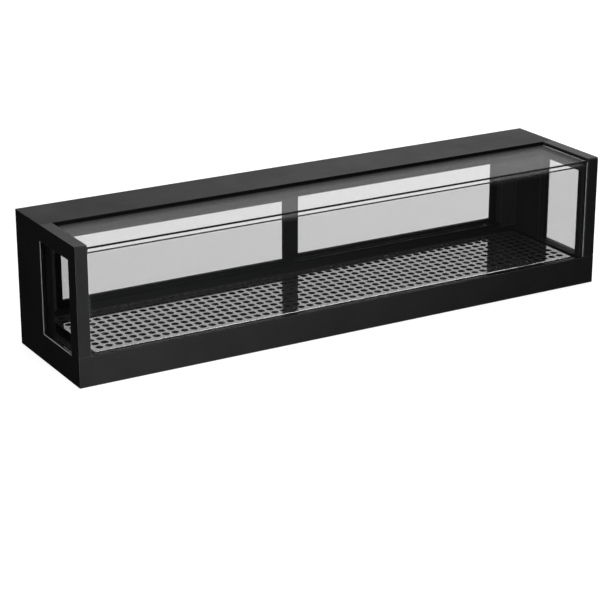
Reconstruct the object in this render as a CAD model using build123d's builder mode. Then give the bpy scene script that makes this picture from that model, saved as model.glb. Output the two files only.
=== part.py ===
from build123d import *
import os

# Countertop glass display case with a chilled perforated deck, millimetres.
# +X runs along the length, +Y to the rear (service side), +Z up.
# The origin is the centre of the footprint, on the surface that the feet stand on.

# Driving dimensions
width = 1500
depth = 346
height = 348
cheek = 31              # thickness of each insulated end cheek
skin = 1.5              # painted steel sheet
liner = 1.0             # inner lining of the cheeks
foot = 2                # rubber pads hold the skirt clear of the counter
plinth = 76             # top of the front fascia
recess = 2              # the cheeks step back this far behind the fascia
joint = 0.5             # open joint between the fascia and the cheeks
nose_radius = 5         # upper front corner of each cheek

# Windows in the cheeks
window_y = (41, 204)
window_z = (71, 306.5)
window_lap = 8          # the sealed unit runs this far behind the skin

# Sealed double glazing
pane = 3
air_gap = 6
unit = 2 * pane + air_gap
bar = 7                 # width of the spacer bars
end_bar = 4.5           # the roof unit's bars are slimmer at its ends
glass_foot = 71         # the front glass stands this low, inside its channel
glass_top = 339         # upper face of the roof glass
glass_front = 4         # the front glass sits this far behind the fascia
side_gap = 1.5          # joint between the glass and the cheeks

# Roof and service side
roof_front = 199        # front edge of the steel roof panel
roof_lap = 18           # the roof glass runs this far under the panel
rear_wall = 309         # inner face of the rear wall
column = 50             # width of the fixed rear columns
sill_z = 84
sill_top = 96
head_z = 271
head_top = 284

# Perforated deck
deck_top = 75
deck_sheet = 1.0
deck_hem = 12           # depth of the folded edges
deck_x = 697            # half length
deck_y = (26, 297)
hole = 19
hole_pitch = 25
hole_columns = 55
hole_rows = 10
first_row = 49.5

# Tub, coil and outlets
tub_floor = 30
tub_sheet = 1.2
tub_front = 17.7
foam_y = (3.6, depth - 3.3)             # front and rear of the base foam
foam_front_top = 66                     # foam behind the fascia, up to the glass channel
pan_hole = 13                           # radius of the holes round the drain and the line ends
line_hole = 6.5                         # radius where the lines pass the tub and the foam
coil_od = 9.52
coil_wall = 0.8
coil_z = 52
coil_pitch = 40
coil_first = 60
coil_passes = 6
drain_x = -450
drain_y = 160
drain_bore = 10

# Sliding doors
door_thick = 10
door_y = {"left": 318, "right": 337}    # the left door runs in the inner track
door_x = {"left": (-668, -5), "right": (-12, 668)}
meeting_stile = {"left": 18, "right": 43}
stile = 18
rails = (14, 12.5)      # lower, upper
door_z = (91, 276.5)
door_pane = 4

front = -depth / 2
inner = width / 2 - cheek               # half the clear length between the cheeks


def y_at(distance):
    """Row Y of a point this far behind the front face."""
    return front + distance


def block(x, y, z, mode=Mode.ADD):
    """Rectangular block between limits; y is measured back from the front face."""
    with BuildSketch(Plane.XY.offset(z[0])) as outline:
        with Locations(((x[0] + x[1]) / 2, y_at((y[0] + y[1]) / 2))):
            Rectangle(x[1] - x[0], y[1] - y[0])
    extrude(outline.sketch, amount=z[1] - z[0], mode=mode)


def profile(points, x, mode=Mode.ADD):
    """Cross-section given as (distance behind the front, height), run along X."""
    with BuildSketch(Plane.YZ.offset(x[0])) as outline:
        with BuildLine():
            Polyline(*[(y_at(y), z) for y, z in points], close=True)
        make_face()
    extrude(outline.sketch, amount=x[1] - x[0], mode=mode)


def span(side, a, b):
    """X limits of something a to b inside the outer face of the chosen end."""
    return tuple(sorted((side * (width / 2 - a), side * (width / 2 - b))))


def ring(x, y, outer, bore, z):
    """Upright tube section between two heights."""
    with BuildSketch(Plane.XY.offset(z[0])) as outline:
        with Locations((x, y_at(y))):
            Circle(outer)
            Circle(bore, mode=Mode.SUBTRACT)
    extrude(outline.sketch, amount=z[1] - z[0])


def grown(limits, amount):
    return (limits[0] - amount, limits[1] + amount)


def save(part, name):
    part.label = name
    export_step(part, f"parts/{name}.step")


# ---------------------------------------------------------------- end cheeks

def cheek_outline(inset, x, mode=Mode.ADD):
    """Side profile of a cheek: notched for the fascia and the roof panel, nose rounded."""
    rear = depth - inset
    low = foot + inset
    with BuildSketch(Plane.YZ.offset(x[0])) as outline:
        with BuildLine():
            Polyline(
                (y_at(recess + inset), low),
                (y_at(recess + inset), plinth + joint + inset),
                (y_at(inset), plinth + joint + inset),
                (y_at(inset), height - inset),
                (y_at(roof_front - inset), height - inset),
                (y_at(roof_front - inset), height - skin - inset),
                (y_at(rear), height - skin - inset),
                (y_at(rear), low),
                close=True,
            )
        make_face()
        nose = vertices().group_by(Axis.X)[0].sort_by(Axis.Y)[-1]
        fillet(nose, nose_radius - inset)
    extrude(outline.sketch, amount=x[1] - x[0], mode=mode)


def cheek_shell(side):
    """Outer skin folded round all four edges, open on the inside."""
    with BuildPart() as shell:
        cheek_outline(0, span(side, 0, cheek))
        cheek_outline(skin, span(side, skin, cheek), Mode.SUBTRACT)
        block(span(side, -1, cheek), window_y, window_z, Mode.SUBTRACT)
    return shell


def cheek_liner(side):
    """Flat inner sheet that closes the shell."""
    with BuildPart() as sheet:
        cheek_outline(skin, span(side, cheek - liner, cheek))
        block(span(side, 0, cheek + 1), window_y, window_z, Mode.SUBTRACT)
    return sheet


def cheek_core(side):
    """Foam between shell and liner, rebated for the sealed unit and the sleeve."""
    with BuildPart() as core:
        cheek_outline(skin, span(side, skin, cheek - liner))
        block(
            span(side, 0, skin + unit),
            grown(window_y, window_lap),
            grown(window_z, window_lap),
            Mode.SUBTRACT,
        )
        block(span(side, 0, cheek), grown(window_y, skin), grown(window_z, skin), Mode.SUBTRACT)
    return core


def window_sleeve(side):
    """Sheet sleeve that lines the opening between the sealed unit and the liner."""
    with BuildPart() as sleeve:
        depth_range = span(side, skin + unit, cheek - liner)
        block(depth_range, grown(window_y, skin), grown(window_z, skin))
        block(depth_range, window_y, window_z, Mode.SUBTRACT)
    return sleeve


def side_pane(side, start):
    with BuildPart() as glass:
        block(
            span(side, start, start + pane),
            grown(window_y, window_lap),
            grown(window_z, window_lap),
        )
    return glass


def side_spacer(side):
    """Black bar round the edge of the sealed unit, its inner face in line with the opening."""
    with BuildPart() as ring:
        depth_range = span(side, skin + pane, skin + pane + air_gap)
        block(depth_range, grown(window_y, window_lap), grown(window_z, window_lap))
        block(depth_range, window_y, window_z, Mode.SUBTRACT)
    return ring


# ---------------------------------------------------------------- front and roof glass

glass_x = (-inner + side_gap, inner - side_gap)
bar_y = (glass_front + pane, glass_front + pane + air_gap)
front_z = (glass_foot, glass_top - unit - 0.5)
roof_y = (glass_front - 0.5, roof_front + roof_lap - 1)
roof_gap_z = (glass_top - pane - air_gap, glass_top - pane)


def front_pane(start):
    with BuildPart() as glass:
        block(glass_x, (start, start + pane), front_z)
    return glass


def roof_pane(start):
    with BuildPart() as glass:
        block(glass_x, roof_y, (start, start + pane))
    return glass


def front_spacer():
    """Black bar along the foot of the front unit, level with the top of the fascia."""
    with BuildPart() as foot_bar:
        block(glass_x, bar_y, (front_z[0], plinth))
    return foot_bar


def roof_spacer():
    """Black bar along both ends and the rear of the roof unit."""
    with BuildPart() as bars:
        block(glass_x, (roof_y[0] + bar, roof_y[1]), roof_gap_z)
        block(grown(glass_x, -end_bar), (roof_y[0], roof_y[1] - bar), roof_gap_z, Mode.SUBTRACT)
    return bars


def clear_spacers():
    """Clear bars up both ends of the front and along the shared corner: no dark edge shows."""
    with BuildPart() as bars:
        block(glass_x, bar_y, (plinth, front_z[1]))
        block(grown(glass_x, -bar), bar_y, (plinth, front_z[1] - bar), Mode.SUBTRACT)
        block(glass_x, (roof_y[0], roof_y[0] + bar), roof_gap_z)
    return bars


def corner_seal_upper():
    """Black bead along the upper front arris of the roof glass."""
    with BuildPart() as bead:
        profile(
            [
                (roof_y[0] - 1.5, glass_top - 3.2),
                (roof_y[0], glass_top - 3.2),
                (roof_y[0], glass_top),
                (roof_y[0] + 0.8, glass_top),
                (roof_y[0] + 0.3, glass_top + 0.6),
                (roof_y[0] - 1.5, glass_top - 0.6),
            ],
            glass_x,
        )
    return bead


def corner_seal_lower():
    """Black bead in the joint between the roof glass and the front glass."""
    with BuildPart() as bead:
        block(glass_x, (roof_y[0] - 1.0, glass_front + unit), (front_z[1], glass_top - unit))
        block(glass_x, (roof_y[0] - 1.0, roof_y[0]), (front_z[1] - 1.0, glass_top - unit + 1.0))
    return bead


def cheek_joint_seals():
    """Translucent silicone between the ends of the glass and the cheeks."""
    with BuildPart() as beads:
        for side in (-1, 1):
            gap_x = span(side, cheek, cheek + side_gap)
            block(gap_x, (glass_front, glass_front + unit), (plinth, front_z[1]))
            block(gap_x, (roof_y[0], roof_front), (glass_top - unit, glass_top))
    return beads


# ---------------------------------------------------------------- plinth

def front_fascia():
    """Lower front panel across the whole width, flanged back at top and bottom."""
    with BuildPart() as panel:
        block((-width / 2, width / 2), (0, skin), (foot, plinth))
        block((-inner, inner), (skin, glass_front - 0.5), (plinth - skin, plinth))
        top_edge = edges().filter_by(Axis.X).group_by(Axis.Z)[-1].sort_by(Axis.Y)[0]
        fillet(top_edge, 0.8)
    return panel


channel_z = (foam_front_top, 68)         # underside and inner floor of the channel


def glass_channel():
    """Channel behind the fascia that takes the lower edge of the front glass."""
    rim = plinth - skin - 0.2
    front_leg = (2.2, 3.2)
    rear_leg = (16.5, 17.5)
    with BuildPart() as channel:
        profile(
            [
                (front_leg[0], channel_z[0]),
                (rear_leg[1], channel_z[0]),
                (rear_leg[1], plinth),
                (rear_leg[0], plinth),
                (rear_leg[0], channel_z[1]),
                (front_leg[1], channel_z[1]),
                (front_leg[1], rim),
                (front_leg[0], rim),
            ],
            (-inner, inner),
        )
    return channel


def setting_strip():
    """Rubber strip on which the front glass stands."""
    with BuildPart() as strip:
        block(glass_x, (glass_front, glass_front + unit), (channel_z[1], front_z[0]))
    return strip


pan_flange = 15


def base_pan():
    """Bottom sheet with low flanges, pierced for the drain and the two refrigerant lines."""
    with BuildPart() as pan:
        near, far = 2, depth - 1.7
        block((-inner, inner), (near, far), (foot, foot + skin))
        for y in ((near, near + skin), (far - skin, far)):
            block((-inner, inner), y, (foot, foot + pan_flange))
        floor_holes(pan_hole, pan_hole, z=(foot - 1, foot + 3))
    return pan


def floor_holes(drain_r, line_r, z):
    """Round holes on the drain and on the two line drops."""
    spots = [(drain_x, y_at(drain_y), drain_r)]
    spots += [(coil_drop_x, y_at(y), line_r) for y in coil_end_y]
    for x, y, radius in spots:
        with BuildSketch(Plane.XY.offset(z[0])) as outline:
            with Locations((x, y)):
                Circle(radius)
        extrude(outline.sketch, amount=z[1] - z[0], mode=Mode.SUBTRACT)


def base_core():
    """Three foam boards: one under the tub, one in front of it and one behind it."""
    x = (-inner, inner)
    with BuildPart() as floor_board:
        block(x, foam_y, (foot + skin, tub_floor))
        floor_holes(pan_hole, line_hole, z=(foot - 1, tub_floor + 1))
    with BuildPart() as front_board:
        block(x, (foam_y[0], tub_front), (tub_floor, foam_front_top))
    with BuildPart() as rear_board:
        block(x, (rear_wall + tub_sheet, foam_y[1]), (tub_floor, sill_z - tub_sheet))
    return [floor_board.part, front_board.part, rear_board.part]


tub_rim = (72, 70)      # top of the front wall and of the end walls


def tub_liner():
    """Coated steel tub with a flange under the door sill."""
    with BuildPart() as tub:
        x = (-inner, inner)
        floor_top = tub_floor + tub_sheet
        block(x, (tub_front, rear_wall + tub_sheet), (tub_floor, floor_top))
        block(x, (tub_front, tub_front + tub_sheet), (floor_top, tub_rim[0]))
        block(x, (rear_wall, rear_wall + tub_sheet), (floor_top, sill_z))
        block(x, (rear_wall + tub_sheet, depth - skin - 0.2), (sill_z - tub_sheet, sill_z))
        for side in (-1, 1):
            end = span(side, cheek, cheek + tub_sheet)
            block(end, (tub_front + tub_sheet, rear_wall), (floor_top, tub_rim[1]))
        floor_holes(pan_hole, line_hole, z=(tub_floor - 1, floor_top + 1))
    return tub


def drain_outlet():
    """Flanged drain tube through the tub, the foam and the pan."""
    flange_z = tub_floor + tub_sheet
    with BuildPart() as outlet:
        ring(drain_x, drain_y, 12.9, drain_bore, (3, flange_z))
        ring(drain_x, drain_y, 25, drain_bore, (flange_z, flange_z + 1.8))
    return outlet


def rubber_feet():
    with BuildPart() as feet:
        with BuildSketch(Plane.XY):
            with GridLocations(680, 290, 3, 2):
                Circle(15)
        extrude(amount=foot)
        bottom = faces().group_by(Axis.Z)[0].edges()
        chamfer(bottom, 0.6)
    return feet


# ---------------------------------------------------------------- deck and coil

def perforated_deck():
    """Polished stainless deck with a square grid of round holes and folded edges."""
    with BuildPart() as deck:
        block((-deck_x, deck_x), deck_y, (deck_top - deck_hem, deck_top))
        upright = edges().filter_by(Axis.Z)
        fillet(upright, 4)
        upper = faces().group_by(Axis.Z)[-1].edges()
        fillet(upper, 1.8)
        bottom = faces().group_by(Axis.Z)[0]
        offset(amount=-deck_sheet, openings=bottom)
        middle = first_row + hole_pitch * (hole_rows - 1) / 2
        with BuildSketch(Plane.XY.offset(deck_top)):
            with Locations((0, y_at(middle))):
                with GridLocations(hole_pitch, hole_pitch, hole_columns, hole_rows):
                    Circle(hole / 2)
        extrude(amount=-3, mode=Mode.SUBTRACT)
    return deck


bearer_x = (-587.5, -362.5, -112.5, 112.5, 362.5, 587.5)    # between columns of holes
bearer_width = 6
bearer_sheet = 3.5
leg_half = 4
leg_y = (40, 120, 200, 280)


def deck_bearers():
    """Cross bars with legs that stand on the tub floor between the coil passes."""
    under_deck = deck_top - deck_sheet
    leg_z = (tub_floor + tub_sheet, under_deck - bearer_sheet)
    with BuildPart() as bearers:
        for x in bearer_x:
            bar_x = (x - bearer_width / 2, x + bearer_width / 2)
            block(bar_x, grown(deck_y, -3), (under_deck - bearer_sheet, under_deck))
            for y in leg_y:
                block(bar_x, (y - leg_half, y + leg_half), leg_z)
    return bearers


coil_x = (-640, 620)
coil_drop_x = 665
coil_end_y = (coil_first, coil_first + coil_pitch * (coil_passes - 1))
socket_z = (4, 14, 15)          # mouth, shoulder, upper end
socket_outer = 6.2
socket_bore = (3.24, 4.83)      # liquid line, suction line


def evaporator_coil():
    """Serpentine tube on the tub floor; both ends drop through the pan to brazing sockets."""
    points = [(coil_drop_x, coil_end_y[0], socket_z[1]), (coil_drop_x, coil_end_y[0], coil_z)]
    for i in range(coil_passes):
        y = coil_first + i * coil_pitch
        near, far = coil_x[1 - i % 2], coil_x[i % 2]
        if i > 0:
            points.append((near, y, coil_z))
        if i < coil_passes - 1:
            points.append((far, y, coil_z))
    points.append((coil_drop_x, coil_end_y[1], coil_z))
    points.append((coil_drop_x, coil_end_y[1], socket_z[1]))
    route = [(x, y_at(y), z) for x, y, z in points]
    with BuildPart() as coil:
        with BuildLine():
            FilletPolyline(*route, radius=coil_pitch / 2 - 0.1)
        with BuildSketch(Plane(origin=route[0], z_dir=(0, 0, 1))):
            Circle(coil_od / 2)
            Circle(coil_od / 2 - coil_wall, mode=Mode.SUBTRACT)
        sweep()
        for y, bore in zip(coil_end_y, socket_bore):
            low, shoulder, high = socket_z
            ring(coil_drop_x, y, socket_outer, bore, (low, shoulder))
            ring(coil_drop_x, y, socket_outer, coil_od / 2 - coil_wall, (shoulder, high))
    return coil


def pipe_grommets():
    """Rubber rings that centre the two line ends in the pan."""
    with BuildPart() as rings:
        for y in coil_end_y:
            ring(coil_drop_x, y, pan_hole, socket_outer, (foot, foot + skin))
    return rings


# ---------------------------------------------------------------- roof and rear

def top_panel():
    """Steel roof over the service side, lapping both cheeks, with a hemmed front edge."""
    lip = glass_top + 1.2
    with BuildPart() as panel:
        block((-width / 2, width / 2), (roof_front, depth), (height - skin, height))
        block((-inner, inner), (roof_front, roof_front + skin), (glass_top, height - skin))
        block((-inner, inner), (roof_front + skin, roof_front + roof_lap), (glass_top, lip))
        nose = edges().filter_by(Axis.X).group_by(Axis.Z)[-1].sort_by(Axis.Y)[0]
        fillet(nose, 1.0)
    return panel


def rear_header_panel():
    """Outer sheet behind the roof space, above the doors, with six screw holes."""
    with BuildPart() as panel:
        block((-inner, inner), (depth - skin, depth), (head_top, height - skin))
        screw_holes(header_screws)
    return panel


def rear_lower_panel():
    """Outer sheet below the door sill, with twelve screw holes."""
    with BuildPart() as panel:
        block((-inner, inner), (depth - skin, depth), (foot, sill_z))
        screw_holes(lower_screws)
    return panel


screw_x = (-690, -414, -138, 138, 414, 690)
header_screws = [(x, 316) for x in screw_x]
lower_screws = [(x, z) for x in screw_x for z in (10, 76)]
screw_head = 3.6


def screw_holes(spots):
    with BuildSketch(Plane.XZ.offset(-(y_at(depth) + 1))) as outline:
        with Locations(*spots):
            Circle(screw_head)
    extrude(outline.sketch, amount=skin + 2, mode=Mode.SUBTRACT)


def rear_screws():
    """Flush cross-head screws that hold the two rear sheets."""
    with BuildPart() as screws:
        for x, z in header_screws + lower_screws:
            with BuildSketch(Plane.XZ.offset(-y_at(depth - 0.1))):
                with Locations((x, z)):
                    Circle(screw_head)
            extrude(amount=skin - 0.1)
            with BuildSketch(Plane.XZ.offset(-y_at(depth - 0.1))):
                with Locations((x, z)):
                    Rectangle(3.4, 0.8)
                    Rectangle(0.8, 3.4)
            extrude(amount=0.7, mode=Mode.SUBTRACT)
    return screws


def roof_core():
    """Foam in the roof and in the header above the doors."""
    back = depth - skin
    low = glass_top - unit + tub_sheet
    with BuildPart() as core:
        profile(
            [
                (roof_front + skin, glass_top + 1.2),
                (roof_front + roof_lap, glass_top + 1.2),
                (roof_front + roof_lap + tub_sheet, glass_top),
                (roof_front + roof_lap + tub_sheet, low),
                (rear_wall + tub_sheet, low),
                (rear_wall + tub_sheet, head_top),
                (back, head_top),
                (back, height - skin),
                (roof_front + skin, height - skin),
            ],
            (-inner, inner),
        )
    return core


def roof_liner():
    """Inner lining of the roof and header, from the glass back and down to the head track."""
    x = (-inner, inner)
    start = roof_front + roof_lap
    low = glass_top - unit
    with BuildPart() as lining:
        block(x, (start, start + tub_sheet), (low, glass_top))
        block(x, (start, rear_wall + tub_sheet), (low, low + tub_sheet))
        block(x, (rear_wall, rear_wall + tub_sheet), (head_top, low))
    return lining


def rear_column(side):
    """Fixed box-section column between the sill and the header."""
    with BuildPart() as tube:
        outer = span(side, cheek, cheek + column)
        block(outer, (rear_wall, depth), (sill_z, head_top))
        block(grown(outer, -skin), (rear_wall + skin, depth - skin), (sill_z, head_top), Mode.SUBTRACT)
    return tube


track_x = (-(inner - column), inner - column)
lips = [(rear_wall, 312.3), (323.7, 331.3), (342.7, depth)]


def sill_track():
    """Lower double track for the bypass doors."""
    with BuildPart() as track:
        block(track_x, (rear_wall, depth), (sill_z, sill_z + 6))
        for y in lips:
            block(track_x, y, (sill_z + 6, sill_top))
    return track


def head_track():
    """Upper double track, deep enough to lift the doors out."""
    with BuildPart() as track:
        block(track_x, (rear_wall, depth), (head_top - 2, head_top))
        for y in lips:
            block(track_x, y, (head_z, head_top - 2))
    return track


travel = 620
stop_length = 10


def door_stops():
    """Rubber blocks in the lower tracks that end each door's travel."""
    groove = {"left": (312.3, 323.7), "right": (331.3, 342.7)}
    left_end = door_x["left"][1] + travel + 0.3
    right_end = door_x["right"][0] - travel - 0.3
    with BuildPart() as stops:
        block((left_end, left_end + stop_length), groove["left"], (sill_z + 6, sill_top))
        block((right_end - stop_length, right_end), groove["right"], (sill_z + 6, sill_top))
    return stops


def jamb_seals():
    """Strips on the columns that close against the outer stiles."""
    seal_z = (sill_top, head_z)
    with BuildPart() as seals:
        for side, name in ((-1, "left"), (1, "right")):
            strip = span(side, cheek + column, cheek + column + 0.8)
            middle = door_y[name]
            block(strip, (middle - 4, middle + 4), seal_z)
    return seals


# ---------------------------------------------------------------- sliding doors

def door_sizes(name):
    """Limits of the frame and of the light inside it."""
    x = door_x[name]
    meeting = meeting_stile[name]
    light_x = (x[0] + stile, x[1] - meeting) if name == "left" else (x[0] + meeting, x[1] - stile)
    light_z = (door_z[0] + rails[0], door_z[1] - rails[1])
    y = (door_y[name] - door_thick / 2, door_y[name] + door_thick / 2)
    return x, y, light_x, light_z


def door_frame(name):
    """Four extrusions, stiles full height, grooved for the glass and its gasket."""
    x, y, light_x, light_z = door_sizes(name)
    groove_y = (door_y[name] - 3, door_y[name] + 3)
    groove = [grown(light_x, 8), groove_y, grown(light_z, 8)]
    bars = [
        ((x[0], light_x[0]), door_z),
        ((light_x[1], x[1]), door_z),
        (light_x, (door_z[0], light_z[0])),
        (light_x, (light_z[1], door_z[1])),
    ]
    made = []
    for bar_x, bar_z in bars:
        with BuildPart() as extrusion:
            block(bar_x, y, bar_z)
            block(*groove, mode=Mode.SUBTRACT)
            if bar_z == (door_z[0], light_z[0]):
                for shoe_x in glide_x(name):
                    block(shoe_x, (y[0] + 2, y[1] - 2), (door_z[0], door_z[0] + 4), Mode.SUBTRACT)
        made.append(extrusion.part)
    return made


def glide_x(name):
    x = door_x[name]
    return ((x[0] + 60, x[0] + 100), (x[1] - 100, x[1] - 60))


def door_glides(name):
    """Nylon shoes let into the lower rail."""
    y = door_y[name]
    with BuildPart() as shoes:
        for shoe_x in glide_x(name):
            block(shoe_x, (y - 3, y + 3), (sill_z + 6.3, door_z[0] + 4))
    return shoes


def door_glass(name):
    light_x, light_z = door_sizes(name)[2:]
    half = door_pane / 2
    with BuildPart() as glass:
        block(grown(light_x, 7), (door_y[name] - half, door_y[name] + half), grown(light_z, 7))
    return glass


def door_gasket(name):
    """Rubber channel round the edge of the door glass."""
    light_x, light_z = door_sizes(name)[2:]
    y = door_y[name]
    half = door_pane / 2
    with BuildPart() as ring:
        block(grown(light_x, 8), (y - 3, y + 3), grown(light_z, 8))
        block(light_x, (y - 3, y + 3), light_z, Mode.SUBTRACT)
        block(grown(light_x, 7), (y - half, y + half), grown(light_z, 7), Mode.SUBTRACT)
    return ring


pull_z = (140, 230)


def door_pull(name):
    """Vertical finger pull on the service face of the outer stile."""
    x, y = door_sizes(name)[:2]
    back = y[1]
    near = x[0] + 3 if name == "left" else x[1] - 15
    with BuildPart() as pull:
        block((near, near + 12), (back, back + 1.2), pull_z)
        ridge = near + 9 if name == "left" else near
        block((ridge, ridge + 3), (back + 1.2, back + 3.8), pull_z)
        tips = edges().filter_by(Axis.Z).group_by(Axis.Y)[-1]
        fillet(tips, 1.2)
    return pull


def meeting_seal():
    """Brush on the inner door that closes the gap to the outer door."""
    x, y = door_sizes("left")[:2]
    with BuildPart() as brush:
        block((x[1] - 8, x[1] - 3), (y[1], y[1] + 8.6), (sill_top + 1, head_z - 1))
    return brush


os.makedirs("parts", exist_ok=True)

for side, name in ((-1, "left"), (1, "right")):
    save(cheek_shell(side).part, f"{name}_cheek_shell")
    save(cheek_liner(side).part, f"{name}_cheek_liner")
    save(cheek_core(side).part, f"{name}_cheek_core")
    save(window_sleeve(side).part, f"{name}_window_sleeve")
    save(side_pane(side, skin).part, f"{name}_side_pane_outer")
    save(side_pane(side, skin + pane + air_gap).part, f"{name}_side_pane_inner")
    save(side_spacer(side).part, f"{name}_side_spacer")
    save(rear_column(side).part, f"{name}_rear_column")
    save(Compound(children=door_frame(name)), f"{name}_door_frame")
    save(door_glass(name).part, f"{name}_door_glass")
    save(door_gasket(name).part, f"{name}_door_gasket")
    save(door_glides(name).part, f"{name}_door_glides")
    save(door_pull(name).part, f"{name}_door_pull")

single = {
    "front_pane_outer": front_pane(glass_front),
    "front_pane_inner": front_pane(glass_front + pane + air_gap),
    "front_spacer_bar": front_spacer(),
    "roof_pane_outer": roof_pane(glass_top - pane),
    "roof_pane_inner": roof_pane(glass_top - unit),
    "roof_spacer_bar": roof_spacer(),
    "clear_corner_spacers": clear_spacers(),
    "corner_seal_upper": corner_seal_upper(),
    "corner_seal_lower": corner_seal_lower(),
    "cheek_joint_seals": cheek_joint_seals(),
    "front_fascia": front_fascia(),
    "front_glass_channel": glass_channel(),
    "glass_setting_strip": setting_strip(),
    "base_pan": base_pan(),
    "tub_liner": tub_liner(),
    "drain_outlet": drain_outlet(),
    "rubber_feet": rubber_feet(),
    "perforated_deck": perforated_deck(),
    "deck_bearers": deck_bearers(),
    "evaporator_coil": evaporator_coil(),
    "pipe_grommets": pipe_grommets(),
    "top_panel": top_panel(),
    "rear_header_panel": rear_header_panel(),
    "rear_lower_panel": rear_lower_panel(),
    "rear_screws": rear_screws(),
    "roof_core": roof_core(),
    "roof_liner": roof_liner(),
    "sill_track": sill_track(),
    "head_track": head_track(),
    "door_stops": door_stops(),
    "jamb_seals": jamb_seals(),
    "meeting_seal": meeting_seal(),
}
for name, built in single.items():
    save(built.part, name)
save(Compound(children=base_core()), "base_core")
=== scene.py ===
import math

import bmesh
import bpy
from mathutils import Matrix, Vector


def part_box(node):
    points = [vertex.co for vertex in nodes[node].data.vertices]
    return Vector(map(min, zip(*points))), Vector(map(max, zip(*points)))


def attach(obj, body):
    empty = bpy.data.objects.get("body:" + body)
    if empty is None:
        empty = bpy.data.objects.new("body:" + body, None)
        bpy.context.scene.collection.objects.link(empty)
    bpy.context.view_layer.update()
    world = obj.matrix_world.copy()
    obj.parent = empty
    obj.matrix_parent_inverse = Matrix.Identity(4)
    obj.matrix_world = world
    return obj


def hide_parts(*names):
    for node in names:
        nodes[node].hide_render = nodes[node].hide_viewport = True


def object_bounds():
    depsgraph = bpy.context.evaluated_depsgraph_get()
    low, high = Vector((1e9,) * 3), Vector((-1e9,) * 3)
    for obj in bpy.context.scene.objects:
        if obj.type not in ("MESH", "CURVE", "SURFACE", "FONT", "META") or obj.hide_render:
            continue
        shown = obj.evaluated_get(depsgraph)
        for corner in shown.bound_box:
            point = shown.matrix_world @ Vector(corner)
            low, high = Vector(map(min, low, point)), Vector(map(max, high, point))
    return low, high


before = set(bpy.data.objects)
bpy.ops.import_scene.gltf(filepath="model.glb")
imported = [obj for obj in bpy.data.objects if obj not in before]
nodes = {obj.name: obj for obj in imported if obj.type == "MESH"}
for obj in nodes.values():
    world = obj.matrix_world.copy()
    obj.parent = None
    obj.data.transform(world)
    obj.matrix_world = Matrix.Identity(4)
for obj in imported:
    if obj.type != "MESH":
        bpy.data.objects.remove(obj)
cad_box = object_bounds()

scene = bpy.context.scene
scene.view_settings.view_transform = "Standard"
scene.cycles.transparent_max_bounces = 24
FRONT = cad_box[0][1]


# ---------------------------------------------------------------- material kit

# Width and bevel limits of the lighter arrises: rubbed paint and a painted edge highlight.
EDGE_WEAR_HIGHLIGHT_WIDTH = 0.0014
EDGE_WEAR_HIGHLIGHT_FROM, EDGE_WEAR_HIGHLIGHT_TO = 0.88, 0.996
PEEL_DEPTH = 0.00006


def new_material(name):
    mat = bpy.data.materials.new(name)
    mat.use_nodes = True
    tree = mat.node_tree
    return mat, tree, tree.nodes["Principled BSDF"]


def place(tree, scale=(1, 1, 1)):
    """Coordinates of the piece itself, in metres, so that patterns travel with it."""
    coord = tree.nodes.new("ShaderNodeTexCoord")
    mapping = tree.nodes.new("ShaderNodeMapping")
    mapping.inputs["Scale"].default_value = scale
    tree.links.new(coord.outputs["Object"], mapping.inputs["Vector"])
    return mapping.outputs["Vector"]


def noise(tree, scale, detail=3.0, rough=0.5, stretch=(1, 1, 1)):
    node = tree.nodes.new("ShaderNodeTexNoise")
    node.inputs["Scale"].default_value = scale
    node.inputs["Detail"].default_value = detail
    node.inputs["Roughness"].default_value = rough
    tree.links.new(place(tree, stretch), node.inputs["Vector"])
    return node.outputs["Fac"]


def spread(tree, source, low_value, high_value, start=0.3, end=0.7):
    """Remaps a pattern to a range of values."""
    node = tree.nodes.new("ShaderNodeMapRange")
    node.inputs["From Min"].default_value = start
    node.inputs["From Max"].default_value = end
    node.inputs["To Min"].default_value = low_value
    node.inputs["To Max"].default_value = high_value
    tree.links.new(source, node.inputs["Value"])
    return node.outputs["Result"]


def tint(tree, source, colours):
    """Colour ramp over a pattern; colours are (position, (r, g, b))."""
    node = tree.nodes.new("ShaderNodeValToRGB")
    ramp = node.color_ramp
    while len(ramp.elements) < len(colours):
        ramp.elements.new(0.5)
    for element, (position, colour) in zip(ramp.elements, colours):
        element.position = position
        element.color = (*colour, 1)
    tree.links.new(source, node.inputs["Fac"])
    return node.outputs["Color"]


def bump(tree, height, strength, distance):
    node = tree.nodes.new("ShaderNodeBump")
    node.inputs["Strength"].default_value = strength
    node.inputs["Distance"].default_value = distance
    tree.links.new(height, node.inputs["Height"])
    return node.outputs["Normal"]


def shade(colour, factor):
    return tuple(min(1.0, c * factor) for c in colour)


def own_axes(tree):
    """Separate X, Y and Z outputs of the piece's own coordinates."""
    coord = tree.nodes.new("ShaderNodeTexCoord")
    split = tree.nodes.new("ShaderNodeSeparateXYZ")
    tree.links.new(coord.outputs["Object"], split.inputs[0])
    return split.outputs


def edge_wear_and_highlight(tree, radius):
    """Mask that rises towards the arrises, where paint is thin and rubbed, and where its lighter
    colour also paints a highlight along the edges.
    """
    bevel = tree.nodes.new("ShaderNodeBevel")
    bevel.samples = 6
    bevel.inputs["Radius"].default_value = radius
    geometry = tree.nodes.new("ShaderNodeNewGeometry")
    dot = tree.nodes.new("ShaderNodeVectorMath")
    dot.operation = "DOT_PRODUCT"
    tree.links.new(bevel.outputs["Normal"], dot.inputs[0])
    tree.links.new(geometry.outputs["Normal"], dot.inputs[1])
    return spread(tree, dot.outputs["Value"], 1, 0, EDGE_WEAR_HIGHLIGHT_FROM, EDGE_WEAR_HIGHLIGHT_TO)


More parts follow.
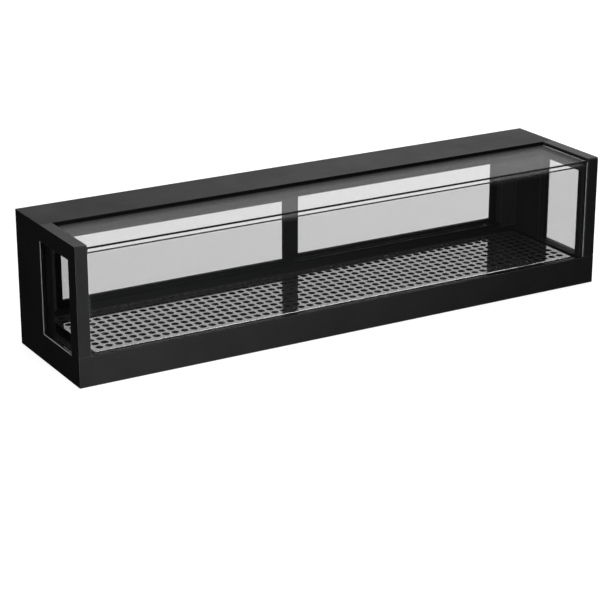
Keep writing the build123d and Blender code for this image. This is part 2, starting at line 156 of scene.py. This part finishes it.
def blend_colours(tree, mask, colour_a, colour_b):
    """Colour A where the mask is 0, B where it is 1; either may be a socket or a value."""
    mix = tree.nodes.new("ShaderNodeMix")
    mix.data_type = "RGBA"
    tree.links.new(mask, mix.inputs["Factor"])
    for socket, colour in (("A", colour_a), ("B", colour_b)):
        target = next(i for i in mix.inputs if i.name == socket and i.type == "RGBA")
        if isinstance(colour, tuple):
            target.default_value = (*colour, 1)
        else:
            tree.links.new(colour, target)
    return next(o for o in mix.outputs if o.type == "RGBA")


# ---------------------------------------------------------------- materials


def powder_coat(name, base, rough, specular):
    """Black stoved paint: fine orange peel, cloudy gloss, slightly rubbed edges that are lightened
    as a painted edge highlight.
    """
    mat, tree, bsdf = new_material(name)
    cloud = noise(tree, 7, 4, 0.6)
    fleck = noise(tree, 420, 2, 0.5)
    peel = noise(tree, 1100, 2, 0.5)
    mixed = tree.nodes.new("ShaderNodeMath")
    mixed.operation = "MULTIPLY_ADD"
    tree.links.new(fleck, mixed.inputs[0])
    mixed.inputs[1].default_value = 0.35
    tree.links.new(cloud, mixed.inputs[2])
    colour = tint(
        tree,
        mixed.outputs[0],
        [(0.35, shade(base, 0.86)), (0.65, base), (0.95, shade(base, 1.18))],
    )
    # Arrises four times lighter: rubbed paint, and a painted highlight along the edges.
    worn_and_highlit_colour = blend_colours(tree, edge_wear_and_highlight(tree, EDGE_WEAR_HIGHLIGHT_WIDTH), colour, shade(base, 4))
    tree.links.new(worn_and_highlit_colour, bsdf.inputs["Base Color"])
    tree.links.new(spread(tree, cloud, rough - 0.05, rough + 0.07), bsdf.inputs["Roughness"])
    tree.links.new(bump(tree, peel, 0.35, PEEL_DEPTH), bsdf.inputs["Normal"])
    bsdf.inputs["Specular IOR Level"].default_value = specular
    return mat


def clear_glass(name, alpha, colour, rough=0.02):
    """Thin clear pane with faint wiping marks in its gloss."""
    mat, tree, bsdf = new_material(name)
    wipe = noise(tree, 9, 5, 0.6, (1, 1, 2.5))
    bsdf.inputs["Base Color"].default_value = (*colour, 1)
    bsdf.inputs["Alpha"].default_value = alpha
    tree.links.new(spread(tree, wipe, rough, rough + 0.04), bsdf.inputs["Roughness"])
    return mat


def metal(name, base, rough, brush, scale=260, depth=0.00002, variation=0.06, metallic=1.0):
    """Metal with a directional grain and faint smudges."""
    mat, tree, bsdf = new_material(name)
    grain = noise(tree, scale, 3, 0.6, brush)
    smudge = noise(tree, 11, 4, 0.6)
    colour = tint(
        tree,
        grain,
        [(0.3, shade(base, 1 - variation)), (0.7, shade(base, 1 + variation))],
    )
    tree.links.new(colour, bsdf.inputs["Base Color"])
    bsdf.inputs["Metallic"].default_value = metallic
    tree.links.new(spread(tree, smudge, rough, rough * 1.35 + 0.01), bsdf.inputs["Roughness"])
    tree.links.new(bump(tree, grain, 0.2, depth), bsdf.inputs["Normal"])
    return mat


def coated_copper(name, coating, bare, line):
    """Copper tube dipped in black epoxy, left bare below a height for brazing."""
    mat, tree, bsdf = new_material(name)
    ragged = spread(tree, noise(tree, 160, 3), -0.0012, 0.0012)
    height = tree.nodes.new("ShaderNodeMath")
    tree.links.new(own_axes(tree)["Z"], height.inputs[0])
    tree.links.new(ragged, height.inputs[1])
    mask = spread(tree, height.outputs[0], 0, 1, line - 0.0006, line + 0.0006)
    stain = noise(tree, 90, 4, 0.6)
    copper = tint(tree, stain, [(0.3, shade(bare, 0.8)), (0.7, shade(bare, 1.12))])
    epoxy = tint(tree, stain, [(0.3, shade(coating, 0.8)), (0.7, shade(coating, 1.3))])
    tree.links.new(blend_colours(tree, mask, copper, epoxy), bsdf.inputs["Base Color"])
    tree.links.new(spread(tree, mask, 1, 0, 0, 1), bsdf.inputs["Metallic"])
    tree.links.new(spread(tree, stain, 0.28, 0.45), bsdf.inputs["Roughness"])
    return mat


def rubber(name, base, rough=0.6, specular=0.3):
    mat, tree, bsdf = new_material(name)
    bloom = noise(tree, 60, 4, 0.6)
    skin = noise(tree, 900, 2, 0.5)
    tree.links.new(
        tint(tree, bloom, [(0.3, shade(base, 0.8)), (0.75, shade(base, 1.5))]),
        bsdf.inputs["Base Color"],
    )
    tree.links.new(spread(tree, bloom, rough - 0.08, rough + 0.12), bsdf.inputs["Roughness"])
    tree.links.new(bump(tree, skin, 0.3, 0.00008), bsdf.inputs["Normal"])
    bsdf.inputs["Specular IOR Level"].default_value = specular
    return mat


def paint_shade_inside(mat, dark, front_face, top_face):
    """Paints shade inside a sealant: it stays light before one face or above the other, and is
    painted dark behind and below them.
    """
    tree = mat.node_tree
    base = tree.nodes["Principled BSDF"].inputs["Base Color"]
    axes = own_axes(tree)
    front = spread(tree, axes["Y"], 1, 0, front_face, front_face + 0.0004)
    top = spread(tree, axes["Z"], 0, 1, top_face - 0.0004, top_face)
    outer = tree.nodes.new("ShaderNodeMath")
    outer.operation = "MAXIMUM"
    tree.links.new(front, outer.inputs[0])
    tree.links.new(top, outer.inputs[1])
    light = base.links[0].from_socket
    colour = blend_colours(tree, outer.outputs[0], dark, light)
    tree.links.new(colour, base)


def plastic(name, base, rough=0.45):
    mat, tree, bsdf = new_material(name)
    cloud = noise(tree, 30, 3, 0.5)
    texture = noise(tree, 1400, 2, 0.5)
    tree.links.new(
        tint(tree, cloud, [(0.3, shade(base, 0.92)), (0.7, shade(base, 1.06))]),
        bsdf.inputs["Base Color"],
    )
    tree.links.new(spread(tree, cloud, rough - 0.05, rough + 0.08), bsdf.inputs["Roughness"])
    tree.links.new(bump(tree, texture, 0.25, 0.00005), bsdf.inputs["Normal"])
    return mat


def foam(name, base, sealer, bed):
    """Cut polyurethane foam with small closed cells, sealed black where the end units bed in it."""
    mat, tree, bsdf = new_material(name)
    cells = tree.nodes.new("ShaderNodeTexVoronoi")
    cells.inputs["Scale"].default_value = 700
    tree.links.new(place(tree), cells.inputs["Vector"])
    cut = tint(tree, cells.outputs["Distance"], [(0.1, shade(base, 0.7)), (0.6, base)])
    across = tree.nodes.new("ShaderNodeMath")
    across.operation = "ABSOLUTE"
    tree.links.new(own_axes(tree)["X"], across.inputs[0])
    mask = spread(tree, across.outputs[0], 0, 1, bed - 0.0002, bed + 0.0002)
    tree.links.new(blend_colours(tree, mask, cut, sealer), bsdf.inputs["Base Color"])
    tree.links.new(bump(tree, cells.outputs["Distance"], 0.6, 0.0004), bsdf.inputs["Normal"])
    bsdf.inputs["Roughness"].default_value = 0.9
    return mat


BLACK = (0.018, 0.018, 0.0185)
COIL_DIP = 0.016            # the coil is bare copper below this height
UNIT_BED = 0.7362           # beyond this distance from the middle the foam is sealed
JOINT_GLINT_LIMITS = FRONT + 0.0055, 0.3372     # rear and lower limits of the light skin of the joints, a painted glint; behind and below them the sealant is painted shade
coat = powder_coat("black_coat", BLACK, 0.45, 0.1)
# Copies of the same black coat made darker as painted shade inside the case, darkest in the tub
# under the deck.
coat_inside_shaded = powder_coat("black_coat_inside_painted_shade", (0.0105, 0.0105, 0.011), 0.5, 0.045)
coat_tub_shaded = powder_coat("black_coat_tub_painted_shade", (0.0045, 0.0045, 0.0047), 0.55, 0.02)
# Darker, less glossy copy of the black coat for the roof panel: painted shade that tones down the
# lit top of the same paint.
coat_roof_shaded = powder_coat("black_coat_roof_painted_shade", (0.0115, 0.0115, 0.012), 0.4, 0.04)
anodised = metal("black_anodised", (0.020, 0.020, 0.0215), 0.4, (1, 30, 30))
mirror_steel = metal(
    "polished_steel", (0.65, 0.65, 0.645), 0.055, (1, 14, 14), 180, 0.000008, 0.02, 0.96
)
plain_steel = metal("plain_steel", (0.55, 0.55, 0.55), 0.35, (1, 20, 20))
coil = coated_copper("coated_coil", (0.030, 0.028, 0.026), (0.72, 0.40, 0.27), COIL_DIP)
silicone = rubber("black_silicone", (0.0025, 0.0025, 0.0025), 0.55, 0.012)
# Light grey sealant: a clear silicone whose light grey is a painted glint of the glass edges beside
# it.
silicone_painted_glint = rubber("clear_silicone", (0.36, 0.37, 0.37), 0.35)
# Joint sealant: light grey at its outer skin as a painted glint, painted dark inside as shade.
silicone_painted_glint_and_shade = rubber("silicone_painted_glint_and_shade", (0.42, 0.43, 0.43), 0.35)
paint_shade_inside(silicone_painted_glint_and_shade, (0.004, 0.004, 0.004), *JOINT_GLINT_LIMITS)
black_bar = rubber("black_spacer_bar", (0.006, 0.006, 0.006), 0.14, 0.35)
black_rubber = rubber("black_rubber", (0.015, 0.015, 0.015), 0.65)
pile = rubber("brush_pile", (0.010, 0.010, 0.010), 0.75, 0.1)
nylon = plastic("natural_nylon", (0.72, 0.71, 0.66))
grey_plastic = plastic("grey_plastic", (0.18, 0.18, 0.19))
pale_foam = foam("pale_foam", (0.80, 0.72, 0.48), (0.004, 0.004, 0.004), UNIT_BED)
front_glass = clear_glass("front_glass", 0.078, (0.026, 0.0275, 0.027))
# The roof panes' light base colour paints the pale reflection veil seen over the roof glass.
roof_glass_painted_veil = clear_glass("roof_glass_painted_veil", 0.065, (0.48, 0.485, 0.48))
end_glass = clear_glass("end_glass", 0.13, (0.02, 0.021, 0.021))
door_glass = clear_glass("door_glass", 0.215, (0.015, 0.016, 0.016))
clear_bar = clear_glass("clear_bar", 0.02, (0.5, 0.51, 0.50), 0.1)

finishes = {
    coat: ["left_cheek_shell", "right_cheek_shell", "front_fascia", "rear_lower_panel",
           "rear_header_panel", "base_pan", "left_rear_column", "right_rear_column"],
    coat_roof_shaded: ["top_panel"],
    coat_inside_shaded: ["left_cheek_liner", "right_cheek_liner", "left_window_sleeve",
                  "right_window_sleeve", "roof_liner"],
    coat_tub_shaded: ["tub_liner"],
    anodised: ["head_track", "sill_track", "left_door_frame", "right_door_frame",
               "left_door_pull", "right_door_pull", "front_glass_channel"],
    black_bar: ["front_spacer_bar", "roof_spacer_bar", "left_side_spacer", "right_side_spacer"],
    mirror_steel: ["perforated_deck"],
    plain_steel: ["deck_bearers", "rear_screws"],
    coil: ["evaporator_coil"],
    silicone: ["corner_seal_upper", "corner_seal_lower"],
    silicone_painted_glint_and_shade: ["cheek_joint_seals"],
    black_rubber: ["rubber_feet", "glass_setting_strip", "pipe_grommets", "door_stops",
                   "jamb_seals", "meeting_seal", "left_door_gasket", "right_door_gasket"],
    nylon: ["left_door_glides", "right_door_glides"],
    grey_plastic: ["drain_outlet"],
    pale_foam: ["left_cheek_core", "right_cheek_core", "base_core", "roof_core"],
    front_glass: ["front_pane_outer", "front_pane_inner"],
    roof_glass_painted_veil: ["roof_pane_outer", "roof_pane_inner"],
    end_glass: ["left_side_pane_outer", "left_side_pane_inner",
                "right_side_pane_outer", "right_side_pane_inner"],
    door_glass: ["left_door_glass", "right_door_glass"],
    clear_bar: ["clear_corner_spacers"],
}
for mat, names in finishes.items():
    for name in names:
        data = nodes[name].data
        if not data.materials:
            data.materials.append(mat)
        for i in range(len(data.materials)):
            data.materials[i] = mat

missing = set(nodes) - {n for names in finishes.values() for n in names}
if missing:
    raise ValueError(f"no finish for {sorted(missing)}")

# Cut and folded edges of the sheet, the extrusions and the feet are slightly round
for name in finishes[coat] + finishes[coat_roof_shaded] + finishes[anodised] + ["rubber_feet"]:
    piece = nodes[name]
    weld = piece.modifiers.new("weld", "WELD")
    weld.merge_threshold = 0.000002
    bevel = piece.modifiers.new("edges", "BEVEL")
    bevel.width = 0.0005
    bevel.segments = 2
    bevel.limit_method = "ANGLE"
    bevel.angle_limit = math.radians(40)
    bevel.use_clamp_overlap = True

# ---------------------------------------------------------------- added pieces

FILLET_STEPS = 6
FILLET_HOLLOW = 0.112
SHEET = 0.0015              # thickness of the cheeks' steel skin


def add_piece(name, mesh, material, body):
    piece = bpy.data.objects.new(name, mesh)
    scene.collection.objects.link(piece)
    piece.data.materials.append(material)
    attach(piece, body)
    return piece


def mesh_from(name, build):
    """Runs a function that fills a bmesh, and returns the mesh with outward normals."""
    data = bpy.data.meshes.new(name)
    bm = bmesh.new()
    build(bm)
    bmesh.ops.recalc_face_normals(bm, faces=bm.faces)
    bm.to_mesh(data)
    bm.free()
    return data


def fillet_section(leg_a, leg_b):
    """Tooled silicone fillet: (a, b) points from the corner along leg A and back over a hollow."""
    points = [(0.0, 0.0), (leg_a, 0.0)]
    for i in range(1, FILLET_STEPS):
        t = i / FILLET_STEPS
        bow = FILLET_HOLLOW * math.sin(math.pi * t)
        points.append((leg_a * (1 - t - bow), leg_b * (t - bow)))
    points.append((0.0, leg_b))
    return points


def loft_ring(bm, rings, closed):
    """Skins a list of equal vertex loops, as a closed ring or with capped ends."""
    loops = [[bm.verts.new(point) for point in ring] for ring in rings]
    count = len(loops[0])
    pairs = list(zip(loops, loops[1:]))
    if closed:
        pairs.append((loops[-1], loops[0]))
    for near, far in pairs:
        for i in range(count):
            j = (i + 1) % count
            bm.faces.new((near[i], near[j], far[j], far[i]))
    if not closed:
        bm.faces.new(loops[0])
        bm.faces.new(loops[-1])


def roof_rear_bead():
    """Black fillet in the angle between the roof glass and the step of the roof panel."""
    foot, rise, clearance = 0.0045, 0.0078, 0.0002
    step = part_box("top_panel")[0].y
    glass_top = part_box("roof_pane_outer")[1].z
    liner_low, liner_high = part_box("roof_liner")

    def build(bm):
        section = fillet_section(foot, rise)
        rings = [
            [Vector((x, step - a, glass_top + b)) for a, b in section]
            for x in (liner_low.x + clearance, liner_high.x - clearance)
        ]
        loft_ring(bm, rings, False)

    return mesh_from("roof_rear_bead", build)


add_piece("roof_rear_bead", roof_rear_bead(), silicone, "cabinet")


def long_bead(name, node, profile):
    """Bead with the length of a CAD node and a section of (y, z) points in millimetres."""
    bead_low, bead_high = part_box(node)

    def build(bm):
        rings = [
            [Vector((x, FRONT + y / 1000, z / 1000)) for y, z in profile]
            for x in (bead_low.x, bead_high.x)
        ]
        loft_ring(bm, rings, False)

    piece = add_piece(name, mesh_from(name, build), silicone, "cabinet")
    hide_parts(node)


long_bead("roof_front_bead", "corner_seal_upper", [
    (3.5, 337.5), (2.9, 337.6), (2.45, 338.0), (2.3, 338.8), (2.5, 339.3), (3.1, 339.55),
    (10.9, 339.6), (12.0, 339.45), (12.7, 339.05), (3.5, 339.05),
])
long_bead("roof_joint_bead", "corner_seal_lower", [
    (4.0, 326.5), (3.7, 326.6), (3.6, 326.75), (3.7, 326.9), (4.0, 327.0), (13.0, 327.0),
    (13.0, 326.5),
])


def window_bead(side):
    """Translucent fillet round the outside of an end pane, against the cut edge of the skin; its
    light grey paints the glint of the pane's polished edge.
    """
    pane_low, pane_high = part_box(f"{side}_side_pane_outer")
    sleeve_low, sleeve_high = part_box(f"{side}_window_sleeve")
    sign = -1 if side == "left" else 1
    face = pane_low.x if side == "left" else pane_high.x
    y0, y1 = sleeve_low.y + SHEET, sleeve_high.y - SHEET
    z0, z1 = sleeve_low.z + SHEET, sleeve_high.z - SHEET
    jamb_leg, sill_leg = 0.0023, 0.0010
    corners = [(y0, z0, 1, 1), (y1, z0, -1, 1), (y1, z1, -1, -1), (y0, z1, 1, -1)]

    def build(bm):
        section = fillet_section(1, SHEET)
        rings = []
        for y, z, side_y, side_z in corners:
            rings.append([
                Vector((face + sign * b, y + side_y * a * jamb_leg, z + side_z * a * sill_leg))
                for a, b in section
            ])
        loft_ring(bm, rings, True)

    return mesh_from(f"{side}_window_bead", build)


for side in ("left", "right"):
    add_piece(f"{side}_window_bead", window_bead(side), silicone_painted_glint, "cabinet")


def brush_pile():
    """Pile of the meeting brush: a backing strip and three staggered rows of bristle tufts."""
    brush_low, brush_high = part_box("meeting_seal")
    back = brush_low.y + 0.0016
    middle = (brush_low.x + brush_high.x) / 2
    pitch, row_pitch, rows = 0.0011, 0.0013, 3
    half_x, half_z, taper = 0.0005, 0.00045, 0.45
    tufts = int((brush_high.z - brush_low.z) / pitch) - 1

    def block(bm, x, y, z):
        v = [bm.verts.new((i, j, k)) for i in x for j in y for k in z]
        quads = (0, 1, 3, 2), (4, 6, 7, 5), (0, 4, 5, 1), (2, 3, 7, 6), (0, 2, 6, 4), (1, 5, 7, 3)
        for quad in quads:
            bm.faces.new([v[i] for i in quad])

    def tuft(bm, x, z, sway, lean, tip):
        corners = [(-half_x, -half_z), (half_x, -half_z), (half_x, half_z), (-half_x, half_z)]
        foot = [bm.verts.new((x + u, back - 0.0002, z + w)) for u, w in corners]
        top = [bm.verts.new((x + sway + u * taper, tip, z + lean + w * taper)) for u, w in corners]
        for j in range(4):
            k = (j + 1) % 4
            bm.faces.new((foot[j], foot[k], top[k], top[j]))
        bm.faces.new(top)
        bm.faces.new(foot)

    def build(bm):
        strip_x, strip_z = (brush_low.x, brush_high.x), (brush_low.z, brush_high.z)
        block(bm, strip_x, (brush_low.y, back), strip_z)
        for row in range(rows):
            x = middle + (row - 1) * row_pitch
            for i in range(tufts):
                z = brush_low.z + pitch * (i + 0.75 + 0.25 * (row % 2))
                sway = 0.0003 * math.sin(7.3 * i + 2.1 * row)
                lean = 0.0004 * math.sin(12.9 * i + 4.7 * row)
                tip = brush_high.y - 0.0003 * (1 + math.sin(5.1 * i + row))
                tuft(bm, x, z, sway, lean, tip)

    return mesh_from("meeting_brush", build)


brush = add_piece("meeting_brush", brush_pile(), pile, "left_door")
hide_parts("meeting_seal")

# ---------------------------------------------------------------- stage

bpy.ops.mesh.primitive_plane_add(size=60, location=(0, 0, 0))
floor = bpy.context.object
floor.name = "floor"
floor_mat, _, floor_bsdf = new_material("pale_floor")
floor_bsdf.inputs["Base Color"].default_value = (0.3, 0.3, 0.3, 1)
floor_bsdf.inputs["Roughness"].default_value = 0.9
floor_bsdf.inputs["Specular IOR Level"].default_value = 0.0
floor_bsdf.inputs["Emission Color"].default_value = (1, 1, 1, 1)
floor_bsdf.inputs["Emission Strength"].default_value = 0.85
floor.data.materials.append(floor_mat)
floor.visible_diffuse = False
floor.visible_glossy = False

bpy.ops.mesh.primitive_uv_sphere_add(segments=48, ring_count=24, radius=28)
backdrop = bpy.context.object
backdrop.name = "backdrop"
dome_mat, _, dome_bsdf = new_material("white_backdrop")
dome_bsdf.inputs["Base Color"].default_value = (0, 0, 0, 1)
dome_bsdf.inputs["Emission Color"].default_value = (1, 1, 1, 1)
dome_bsdf.inputs["Emission Strength"].default_value = 1.0
backdrop.data.materials.append(dome_mat)
backdrop.visible_diffuse = False
backdrop.visible_glossy = False
backdrop.visible_transmission = False
backdrop.visible_shadow = False

world = bpy.data.worlds.new("studio")
scene.world = world
world.use_nodes = True
wt = world.node_tree
background = wt.nodes["Background"]
background.inputs["Color"].default_value = (1, 1, 1, 1)
wcoord = wt.nodes.new("ShaderNodeTexCoord")
wsplit = wt.nodes.new("ShaderNodeSeparateXYZ")
wt.links.new(wcoord.outputs["Generated"], wsplit.inputs[0])


def world_band(axis, start, end, low_value, high_value):
    node = wt.nodes.new("ShaderNodeMapRange")
    node.interpolation_type = "SMOOTHSTEP"
    node.inputs["From Min"].default_value = start
    node.inputs["From Max"].default_value = end
    node.inputs["To Min"].default_value = low_value
    node.inputs["To Max"].default_value = high_value
    wt.links.new(wsplit.outputs[axis], node.inputs["Value"])
    return node.outputs["Result"]


rear = world_band(1, 0.0, 0.45, 0.10, 1.0)
above = world_band(2, 0.02, 0.2, 0.0, 1.0)
both = wt.nodes.new("ShaderNodeMath")
both.operation = "MULTIPLY"
wt.links.new(rear, both.inputs[0])
wt.links.new(above, both.inputs[1])
wt.links.new(both.outputs[0], background.inputs["Strength"])


def softbox(name, location, target, size, power, in_mirror):
    data = bpy.data.lights.new(name, "AREA")
    data.shape = "RECTANGLE"
    data.size, data.size_y = size
    data.energy = power
    lamp = bpy.data.objects.new(name, data)
    scene.collection.objects.link(lamp)
    lamp.location = location
    aim = Vector(target) - Vector(location)
    lamp.rotation_mode = "QUATERNION"
    lamp.rotation_quaternion = aim.to_track_quat("-Z", "Y")
    lamp.visible_camera = False
    lamp.visible_glossy = in_mirror


softbox("overhead", (1.6, 0.5, 2.5), (0.4, 0, 0.2), (4.0, 2.6), 100, True)
softbox("front_left", (-0.7, -1.4, 0.5), (-0.6, -0.1, 0.2), (0.5, 0.5), 26, False)

# ---------------------------------------------------------------- camera

camera_data = bpy.data.cameras.new("camera")
camera = bpy.data.objects.new("camera", camera_data)
scene.collection.objects.link(camera)
camera_data.lens = 119.6
camera_data.sensor_width = 36
camera.location = (-2.478, -4.1374, 1.763)
camera.rotation_euler = (math.pi / 2 - 0.3446, 0, -0.5296)
scene.camera = camera
